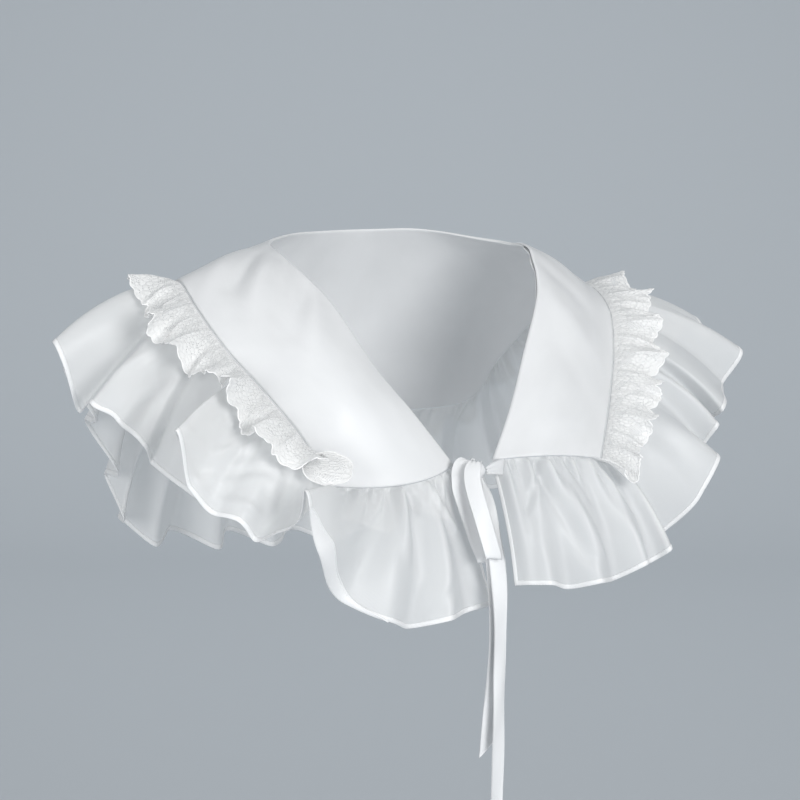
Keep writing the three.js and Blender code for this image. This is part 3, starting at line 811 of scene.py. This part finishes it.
def lace():
    """Cotton lace: leaves and flowers over a fine net, a solid heading and a solid scalloped edge."""
    colour = (0.97, 0.97, 0.965)
    s = Shader("lace", colour, 0.85)
    place = s.add("ShaderNodeSeparateXYZ", {"Vector": s.uv})
    across = s.maths("DIVIDE", place.outputs["Y"], LACE_WIDTH * MM)
    net = s.cells(s.scaled(900, 900, 0.5), 0.3, "DISTANCE_TO_EDGE")
    thread = s.between(net, 0.25, 0.36, 1.0, 0.0)
    flower = s.cells(s.scaled(150, 120), 0.8, "F1")
    leaf = s.cells(s.scaled(430, 300, 0.3), 0.9, "DISTANCE_TO_EDGE")
    body = s.between(s.maths("SUBTRACT", flower, s.maths("MULTIPLY", leaf, 0.7)), 0.42, 0.5, 1.0, 0.0)
    eye = s.between(leaf, 0.02, 0.06)
    motif = s.maths("MULTIPLY", body, eye)
    heading = s.between(across, 0.06, 0.1, 1.0, 0.0)
    edge = s.between(across, 0.86, 0.9)
    solid = s.maths("MAXIMUM", s.maths("MAXIMUM", heading, edge), motif)
    cover = s.maths("MAXIMUM", s.maths("MULTIPLY", thread, 0.9), solid, clamp=True)
    relief = s.maths("MULTIPLY", body, s.between(leaf, 0.0, 0.28))
    relief = s.maths("ADD", relief, s.maths("MULTIPLY", thread, 0.3))
    grain = s.maths("MULTIPLY", s.noise(1700, 1700, 3), 0.3)
    s.bump(s.maths("ADD", relief, grain), 0.7, 0.0006)
    # Painted shade: the lace's base colour darkens to the cord's tone where its relief is low, in the
    # hollows between the raised motifs.
    s.put("Base Color", s.mix_colour(s.between(relief, 0.0, 0.6), CORD_AND_HOLLOW_SHADE_COLOUR, colour))
    s.put("Sheen Weight", 0.15)
    mix = s.through(0.22, colour)
    s.cut_out(cover, mix)
    return s.material


def cord_cloth():
    s = Shader("lace_cord", CORD_AND_HOLLOW_SHADE_COLOUR, 0.85)
    s.bump(s.bands(260.0, 1.0, "DIAGONAL"), 0.4, 0.0002)
    return s.material


# The cord's own colour, which the lace also takes as painted shade in its hollows.
CORD_AND_HOLLOW_SHADE_COLOUR = (0.93, 0.93, 0.925)
SATIN = satin("satin", (0.825, 0.833, 0.842), 0.4)
LINING = satin("satin_lining", (0.8, 0.805, 0.81), 0.46)
RIBBON = satin("ribbon", (0.86, 0.868, 0.878), 0.36)
ORGANZA = organza()
HEM = hem_cloth()
LACE = lace()
LACE_CORD = cord_cloth()

# The camera: its angles, its distance, and how far left of and below the origin it looks

AZIMUTH, ELEVATION, DISTANCE = math.radians(-30), math.radians(7), 2.0
LOOK_LEFT, LOOK_DOWN = 0.00455, 0.09425
level = math.cos(ELEVATION)
back = Vector((math.sin(AZIMUTH) * level, -math.cos(AZIMUTH) * level, math.sin(ELEVATION)))
right = Vector((math.cos(AZIMUTH), math.sin(AZIMUTH), 0))
up = back.cross(right)
camera = bpy.data.objects.new("camera", bpy.data.cameras.new("camera"))
camera.data.sensor_width = 36
camera.data.lens = 138.46
camera.data.clip_start = 0.05
camera.data.clip_end = 30
place = back * DISTANCE - right * LOOK_LEFT - up * LOOK_DOWN
turned = Matrix((right, up, back)).transposed()
camera.matrix_world = Matrix.Translation(place) @ turned.to_4x4()
bpy.context.scene.collection.objects.link(camera)
bpy.context.scene.camera = camera


# The tie

facing = math.radians(TIE_FACING)
TIE_RIGHT = np.array([math.cos(facing), math.sin(facing), 0.0])
TIE_OUT = np.array([math.sin(facing), -math.cos(facing), 0.0])
TIE_UP = np.array([0.0, 0.0, 1.0])


def tie_path(rows, at):
    """The middle line of a ribbon, and the columns of its table along it."""
    rows = {**rows, "at": np.arange(len(rows["z"]), dtype=float)}
    value = {key: smooth(rows, key, at) for key in TIE_COLUMNS.split()}
    line = value["across"][:, None] * TIE_RIGHT + value["out"][:, None] * TIE_OUT
    return line + value["z"][:, None] * TIE_UP, value


def ribbon(name, rows, slant=0.0, curl=0.5, seed=0.0):
    """A ribbon and its path: slant at the cut end, curled edges, and pleats where it is gathered."""
    last = len(rows["z"]) - 1
    at = np.linspace(0, last, last * RIBBON_STEPS + 1)
    line, value = tie_path(rows, at)
    before, after = np.clip(at - 0.1, 0, last), np.clip(at + 0.1, 0, last)
    path = unit(tie_path(rows, after)[0] - tie_path(rows, before)[0])
    turn, tilt = np.radians(value["turn"])[:, None], np.radians(value["tilt"])[:, None]
    width = np.cos(turn) * TIE_RIGHT + np.sin(turn) * TIE_OUT
    width = width * np.cos(tilt) + np.sin(tilt) * TIE_UP
    width = unit(width - path * dot(width, path))
    normal = np.cross(width, path)
    c = np.linspace(-1, 1, 15)[:, None]
    wide = value["wide"][None, :]
    run = running(line)[None, :]
    bend = curl * (c * c - 0.35) * np.sin(run / 23 + seed) + 0.25 * np.sin(run / 9 + seed + 2 * c)
    pleat = (1 - wide) * 1.1 * np.cos(3 * math.pi * c)
    tip = slant * c * ramp(run, run.max() - 14, run.max())
    points = line[None] + width[None] * (c * wide * RIBBON_WIDTH / 2)[..., None]
    points = points + normal[None] * (bend * ramp(wide, 0.5, 1) + pleat)[..., None]
    points = points + path[None] * tip[..., None]
    return wall(name, points, -RIBBON_HALF, RIBBON_HALF, RIBBON), line * MM


tail_short, short_line = ribbon("ribbon_end_short", TAIL_SHORT, slant=-5.0, curl=0.9, seed=0.4)
tail_long, long_line = ribbon("ribbon_end_long", TAIL_LONG, slant=4.0, curl=0.8, seed=2.0)
loop_front, front_line = ribbon("ribbon_loop_front", LOOP_FRONT, curl=0.6, seed=1.2)
loop_rear, rear_line = ribbon("ribbon_loop_rear", LOOP_REAR, curl=0.5, seed=3.1)
strap_left = ribbon("ribbon_strap_left", STRAP_LEFT, curl=0.3)[0]
strap_right = ribbon("ribbon_strap_right", STRAP_RIGHT, curl=0.3)[0]


def knot():
    """The knot: a pillow of ribbon wrapped over and over, with its folds running round it."""
    rings, sides = 41, 56
    theta = np.linspace(0.02, math.pi - 0.02, rings)[:, None]
    phi = np.linspace(0, 2 * math.pi, sides, endpoint=False)[None, :]
    wraps = 0.045 * np.cos(7 * theta + 0.9 * np.sin(phi))
    wraps = wraps + 0.035 * np.cos(13 * theta + 1.7 * np.sin(2 * phi))
    radius = 0.98 + wraps * np.sin(theta)
    a, o, h = KNOT["halves"]
    centre = KNOT["across"] * TIE_RIGHT + KNOT["out"] * TIE_OUT + KNOT["z"] * TIE_UP
    points = centre + (radius * a * np.cos(theta) * np.ones_like(phi))[..., None] * TIE_RIGHT
    points = points + (radius * o * np.sin(theta) * np.cos(phi))[..., None] * TIE_OUT
    points = points + (radius * h * np.sin(theta) * np.sin(phi))[..., None] * TIE_UP
    index = np.arange(rings * sides).reshape(rings, sides)
    on = np.roll(index, -1, axis=1)
    faces = np.stack([index[:-1], index[1:], on[1:], on[:-1]], axis=-1).reshape(-1, 4).tolist()
    faces += [index[0].tolist(), index[-1, ::-1].tolist()]
    u, v = np.meshgrid(np.arange(rings) * 0.4, np.arange(sides) * 0.5, indexing="ij")
    uvs = np.stack([u, v], axis=-1).reshape(-1, 2) * MM
    return new_mesh("ribbon_knot", points.reshape(-1, 3), faces, uvs, RIBBON)


tie_knot = knot()

# The satin collar: the two layers meet at a rolled edge all round, and the mesh is finer beside it


def graded(last, step, count):
    """Places from 0 to last, with step millimetres to a place."""
    fine = np.concatenate([np.linspace(0, ROLL, 7)[:-1], np.linspace(ROLL, EDGE_BAND, 4)[:-1]]) / step
    inside = np.linspace(EDGE_BAND / step, last - EDGE_BAND / step, count)
    return np.concatenate([fine, inside, last - fine[::-1]])


AT, ACROSS = np.meshgrid(graded(LAST, SECTION_STEP, 421), graded(1.0, PANEL_WIDTH, 56))
middle, outward = panel(AT, ACROSS)
from_sides, from_ends = np.minimum(ACROSS, 1 - ACROSS), np.minimum(AT, LAST - AT)
from_edge = np.minimum(from_sides * PANEL_WIDTH, from_ends * SECTION_STEP)
roll = np.sqrt(np.clip(1 - (1 - np.clip(from_edge / ROLL, 0, 1)) ** 2, 0, 1))
soft = 0.3 * np.sin(AT * 5.1 + 3 * ACROSS) * np.sin(ACROSS * 7 + AT * 1.7) * ramp(from_edge, 2, 14)
soft = soft + crease_height(AT, ACROSS, SOFT_CREASES) * ramp(from_edge, 1, 12)
top = cloth("collar_top_satin", middle + outward * (TOP_LIFT * roll + soft)[..., None], SATIN)

# The lining peeks out a little at the left of the neck.
peek = PEEK * np.exp(-(((AT - 15.9) / 0.9) ** 2)) * (1 + 0.5 * np.sin(AT * 12))
peek = peek * (1 - ramp(ACROSS * PANEL_WIDTH, 0, 6))
inner = middle - outward * (LINING_DROP * roll - soft * 0.6)[..., None]
inner = inner - unit(outer_at(AT) - neck_at(AT)) * peek[..., None]
under = cloth("collar_under_satin", inner - outward * (peek * 0.5)[..., None], LINING)


# The ruffles, with their hems, and the lace frills


def ruffle(side, low, high, columns_count):
    """One strip of the ruffle, with its hem and its front hem, and the grid of its points."""
    fine = np.linspace(low, high, 4001)
    hem = fold_point(fine, np.ones_like(fine))
    seam = seam_at(fine)
    steps = np.linalg.norm(np.diff(hem, axis=0), axis=1) + np.linalg.norm(np.diff(seam, axis=0), axis=1)
    run = np.concatenate([[0], np.cumsum(steps)])
    places = np.interp(np.linspace(0, run[-1], columns_count), run, fine)
    falls = np.concatenate([[0.004, 0.012, 0.024], np.linspace(0.04, 1, 41)])
    points = ruffle_grid(*np.meshgrid(places, falls), side)
    sheet = cloth("ruffle_" + side + "_organza", points, ORGANZA)
    normals = grid_normals(points)
    inward = unit(points[-3] - points[-1])
    hem_roll = edge_roll("hem_" + side, points[-1], inward, normals[-1], HEM_ROLL, HEM)
    first, last = (0, 1) if low < 0 else (-1, -2)
    line = points[2:, first]
    inward = unit(points[2:, last] - line)
    front = edge_roll("front_hem_" + side, line, inward, normals[2:, first], FRONT_ROLL, HEM)
    return sheet, hem_roll, front, points


def lace_cord(name, points):
    inward = unit(points[-3] - points[-1])
    return edge_roll(name, points[-1], inward, grid_normals(points)[-1], CORD_ROLL, LACE_CORD, 6)


def frill(side, low, high, count):
    """One strip of the lace, gathered along its heading, and the cord along its scalloped edge."""
    fine = np.linspace(low, high, 2001)
    run = arc_length(fine)
    places = np.interp(np.linspace(run[0], run[-1], count), run, fine)
    length = arc_length(places) - run[0]
    to_end = length if side == "right" else run[-1] - run[0] - length
    shares = np.concatenate([np.linspace(0, 0.9, 24), np.linspace(0.92, 1, 7)])
    at, share = np.meshgrid(places, shares)
    along, to_end = np.broadcast_to(length, at.shape), np.broadcast_to(to_end, at.shape)
    down, fall, side_way, out = fall_frame(at)[1:]
    wave = 2 * math.pi * along / LACE_WAVE + 1.1 * np.sin(along / 61)
    waves = np.sin(wave)
    lean = np.radians(smooth(FLARES, "angle", at)) + 0.14 * waves * share
    end = LACE_END if side == "right" else LACE_END / 2
    rounded = np.sqrt(1 - (1 - np.clip(to_end / end, 0.02, 1)) ** 2)
    free = ramp(share, 0.35, 1)
    lobes = (1 - np.abs(np.sin(math.pi * along / (LACE_WAVE / 2) + np.sin(along / 47)))) ** 2
    loops = 1 - np.abs(np.sin(math.pi * along / LACE_PICOT))
    scallop = 1 - 0.16 * lobes * free - 0.045 * free * loops
    full = smooth(FLARES, "wide", at)
    wide = full * (1 + 0.07 * np.sin(along / 17))
    reach = wide * rounded * share * scallop
    across = reach * np.cos(lean)
    fall_share = np.clip(across / fall[..., 0], 0, 1) + 1.4 / fall[..., 0]
    point = fold_point(at, fall_share)
    pleats = 1 - 2 * np.abs(np.sin(math.pi * along / LACE_PLEAT + 1.5 * np.sin(along / 23))) ** 0.8
    tucks = np.sin(2 * math.pi * along / LACE_TUCK + 1.6 * np.sin(along / 13))
    deep = full / LACE_FULL
    lift = 0.7 + 1.3 * ramp(share, 0, 0.2) + 2.2 * np.sqrt(share) + deep**3 * share * (1 + waves)
    lift = lift + reach * np.sin(lean) + 1.1 * deep**2 * (1 + pleats) * ramp(share, 0.05, 0.6)
    lift = lift + 0.45 * tucks * ramp(share, 0, 0.12) * np.exp(-share / 0.35)
    points = point + out * lift[..., None] + down * np.minimum(0, across)[..., None]
    curl = 2.4 * np.sin(wave + 1.2)
    curl = curl + 1.6 * np.sin(2 * math.pi * along / 11.3 + 1.9 * np.sin(along / 23) + 1.5)
    points = points + side_way * (curl * ramp(share, 0.2, 1))[..., None]
    u = np.broadcast_to((length * LACE_FULLNESS)[None, :], at.shape)
    uvs = np.stack([u, share * wide * rounded], axis=-1).reshape(-1, 2) * MM
    sheet = cloth("lace_" + side + "_frill", points, LACE, uvs)
    return sheet, lace_cord("lace_" + side + "_cord", points)


def turned_end():
    """The frill's front end, turned over at the right corner into a broad rounded lobe."""
    u, v, w = (np.array(axis) for axis in (right, up, back))
    turn, radial = np.meshgrid(np.radians(np.linspace(-88, 88, 121)), np.linspace(0.02, 1, 26))
    oval = 31 * np.cos(turn) / (np.cos(turn) ** 2 + 2.3 * np.sin(turn) ** 2)
    oval = oval * (1 - 0.05 * (1 - np.abs(np.sin(turn * 8))))
    x, y = radial * oval * np.cos(turn - 0.1), radial * oval * np.sin(turn - 0.1)
    deep = TURNED_END[2] - 0.38 * x - 0.8 * y + 2.6 * np.sin(math.pi * radial * 0.8)
    deep = deep + 1.5 * np.sin(5.5 * turn + 2.5 * radial) * radial
    deep = deep + 2.4 * np.exp(-(((turn + 0.25) / 0.2) ** 2)) * radial
    points = (x + TURNED_END[0])[..., None] * u + (y + TURNED_END[1])[..., None] * v
    points = points + deep[..., None] * w
    uvs = np.stack([turn * 24, LACE_WIDTH * (0.25 + 0.75 * radial)], axis=-1).reshape(-1, 2) * MM
    sheet = cloth("lace_right_turned_end", points, LACE, uvs)
    return sheet, lace_cord("lace_turned_cord", points)


def turned_hem():
    """The hem's turn-back along the curved side of the right front: a doubled band with its own edge."""
    places = np.linspace(-0.4, -0.05, 150)
    at, share = np.meshgrid(places, np.linspace(0, 1, 12))
    along = (at - places[0]) / (places[-1] - places[0])
    wide = 13 * np.sin(math.pi * np.clip(along, 0, 1) ** 1.8) ** 0.8 + 0.6 * np.sin(along * 21)
    fall = 1 - share * np.maximum(wide, 0.3) / fall_frame(at)[2][..., 0]
    raised = 0.7 + 1.4 * np.sin(math.pi * share) * np.sin(math.pi * along)
    points = ruffle_grid(at, fall, "right", raised)
    sheet = cloth("hem_turned_right", points, HEM)
    inward = unit(points[-2] - points[-1])
    edge = edge_roll("hem_turned_edge", points[-1], inward, grid_normals(points)[-1], TURNED_ROLL, HEM)
    return sheet, edge


def back_roll(points):
    """The seam at the centre back, down the last column of the right strip."""
    line = points[1:, -1]
    inward = unit(points[1:, -2] - line)
    return edge_roll("ruffle_back_seam", line, inward, grid_normals(points)[1:, -1], SEAM_ROLL, HEM)


organza_right, hem_right, front_right, right_points = ruffle("right", RUFFLE_START, BACK, 620)
organza_left, hem_left, front_left = ruffle("left", BACK, RUFFLE_END, 600)[:3]
back_seam = back_roll(right_points)
frill_right, cord_right = frill("right", 0.55, 9.999, 980)
end_right, end_cord = turned_end()
turned_right, turned_edge = turned_hem()
frill_left, cord_left = frill("left", 10.001, 20.12, 980)

# The stage: a pale floor that sweeps up behind, and soft light


def sweep():
    """A floor that runs far back and curves up into a wall, in metres."""
    start, curve_at, radius, top_height, half_width, floor_height = -6.0, 3.1, 1.1, 6.0, 9.0, -0.75
    profile = [(start, 0.0), (curve_at, 0.0)]
    for t in np.linspace(0, math.pi / 2, 17)[1:]:
        profile.append((curve_at + radius * math.sin(t), radius - radius * math.cos(t)))
    profile = np.array(profile + [(curve_at + radius, top_height)])
    forward = np.array([-back[0], -back[1]]) / math.hypot(back[0], back[1])
    side = np.array([right[0], right[1]])
    points = []
    for across in (half_width, -half_width):
        flat = profile[:, :1] * forward + across * side
        points.append(np.column_stack([flat, profile[:, 1] + floor_height]))
    paint = Shader("studio", (0.5, 0.53, 0.56), 0.9).material
    return cloth("studio_sweep", np.array(points) / MM, paint)


stage = sweep()


def soft_light(name, place, target, size, power, colour=(1, 1, 1)):
    data = bpy.data.lights.new(name, "AREA")
    data.shape = "DISK"
    data.size = size
    data.energy = power
    data.color = colour
    made = bpy.data.objects.new(name, data)
    made.location = place
    made.rotation_euler = (Vector(target) - Vector(place)).to_track_quat("-Z", "Y").to_euler()
    bpy.context.scene.collection.objects.link(made)


def studio(across, toward, height):
    """A place in metres: to the right of the photo, toward the camera and up."""
    return right * across + Vector((back[0], back[1], 0)).normalized() * toward + Vector((0, 0, height))


AIM = (0, 0, -0.1)
soft_light("key", studio(1.1, 1.9, 0.35), AIM, 1.0, 31)
soft_light("fill", studio(-1.4, 1.7, 0.15), AIM, 1.4, 17, (0.99, 0.995, 1.0))
soft_light("top", studio(0.3, -0.6, 1.7), AIM, 0.8, 2)
soft_light("wall", studio(0, -2.0, 2.6), studio(0, -4.1, 0.3), 2.0, 44, (0.95, 0.98, 1.0))

world = bpy.data.worlds.new("studio")
bpy.context.scene.world = world
world.use_nodes = True
world.node_tree.nodes["Background"].inputs["Color"].default_value = (0.9, 0.93, 0.95, 1)
world.node_tree.nodes["Background"].inputs["Strength"].default_value = 0.46
bpy.context.scene.view_settings.view_transform = "Standard"

# Each piece hangs from the root, and the parts of model.glb that it stands for are hidden

PIECES = [
    (top, "satin", ["collar_top"]),
    (under, "satin_lining", ["collar_under"]),
    (organza_right, "organza", ["ruffle_right"]),
    (hem_right, "organza", []),
    (front_right, "organza", []),
    (turned_right, "organza", []),
    (turned_edge, "organza", []),
    (back_seam, "organza", []),
    (organza_left, "organza", ["ruffle_left"]),
    (hem_left, "organza", []),
    (front_left, "organza", []),
    (frill_right, "lace", ["lace_right"]),
    (frill_left, "lace", ["lace_left"]),
    (cord_right, "lace", []),
    (end_right, "lace", []),
    (end_cord, "lace", []),
    (cord_left, "lace", []),
    (tie_knot, "ribbon", ["tie_knot"]),
    (strap_right, "ribbon", ["tie_strap_right"]),
    (strap_left, "ribbon", ["tie_strap_left"]),
    (loop_front, "ribbon", ["tie_loop_front"]),
    (loop_rear, "ribbon", ["tie_loop_rear"]),
    (tail_short, "ribbon", ["tie_tail_short"]),
    (tail_long, "ribbon", ["tie_tail_long"]),
]
for piece, slot_name, nodes in PIECES:
    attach(piece, "root")
    if nodes:
        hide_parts(*nodes)
